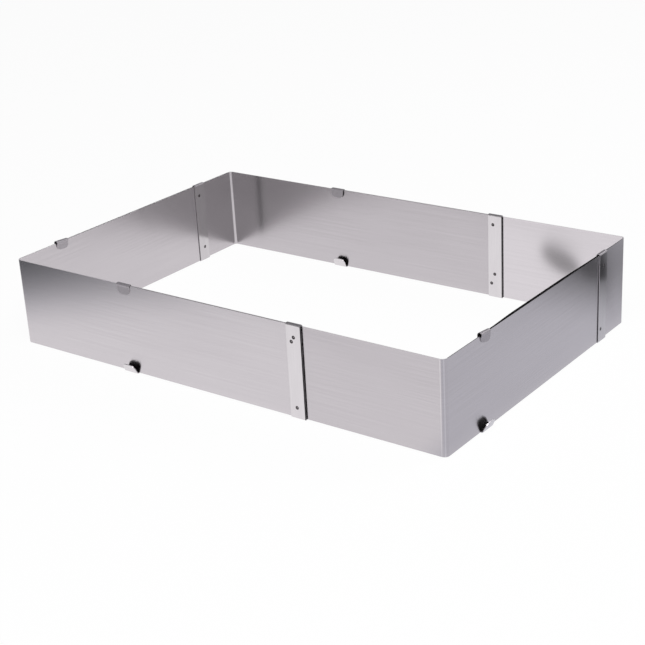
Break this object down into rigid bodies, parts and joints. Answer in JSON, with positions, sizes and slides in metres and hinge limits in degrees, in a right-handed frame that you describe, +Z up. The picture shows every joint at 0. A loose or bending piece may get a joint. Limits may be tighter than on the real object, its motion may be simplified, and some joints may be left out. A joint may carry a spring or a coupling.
{
  "type": "adjustable cake frame",
  "caption": "Rectangular cake frame of lapped stainless corner sheets that slide in folded clips, so its length and width adjust.",
  "frame": {"origin": "centre of the frame's box at the floor that it stands on", "axes": "+X along the long front wall to the right, +Y from the front wall to the back wall, +Z up"},
  "size_m": [0.4606, 0.3136, 0.0836],
  "materials": {
    "sheet": "fine horizontal brushing",
    "clip": "smooth rolled strip",
    "weld": "heat-darkened spot weld"
  },
  "bodies": {
    "front_left": {"front_left_sheet": "sheet", "front_left_long_clip": "clip", "front_left_short_clip": "clip", "front_left_long_weld_1": "weld", "front_left_long_weld_2": "weld", "front_left_long_weld_3": "weld", "front_left_short_weld_1": "weld", "front_left_short_weld_2": "weld"},
    "front_right": {"front_right_sheet": "sheet", "front_right_long_clip": "clip", "front_right_short_clip": "clip", "front_right_long_weld_1": "weld", "front_right_long_weld_2": "weld", "front_right_short_weld_1": "weld", "front_right_short_weld_2": "weld"},
    "back_right": {"back_right_sheet": "sheet", "back_right_long_clip": "clip", "back_right_short_clip": "clip", "back_right_long_weld_1": "weld", "back_right_long_weld_2": "weld", "back_right_short_weld_1": "weld", "back_right_short_weld_2": "weld"},
    "back_left": {"back_left_sheet": "sheet", "back_left_long_clip": "clip", "back_left_short_clip": "clip", "back_left_long_weld_1": "weld", "back_left_long_weld_2": "weld", "back_left_long_weld_3": "weld", "back_left_short_weld_1": "weld", "back_left_short_weld_2": "weld"}
  },
  "joints": [
    {"name": "length_slide", "type": "slide", "parent": "front_left", "child": "front_right", "axis": [1, 0, 0], "range_m": [-0.117, 0.164]},
    {"name": "width_slide", "type": "slide", "parent": "front_left", "child": "back_left", "axis": [0, 1, 0], "range_m": [-0.03, 0.177]},
    {"name": "right_width_slide", "type": "slide", "parent": "front_right", "child": "back_right", "axis": [0, 1, 0], "range_m": [-0.03, 0.177]}
  ],
  "couplings": [
    {"joint": "right_width_slide", "follows": "width_slide", "ratio": 1}
  ]
}
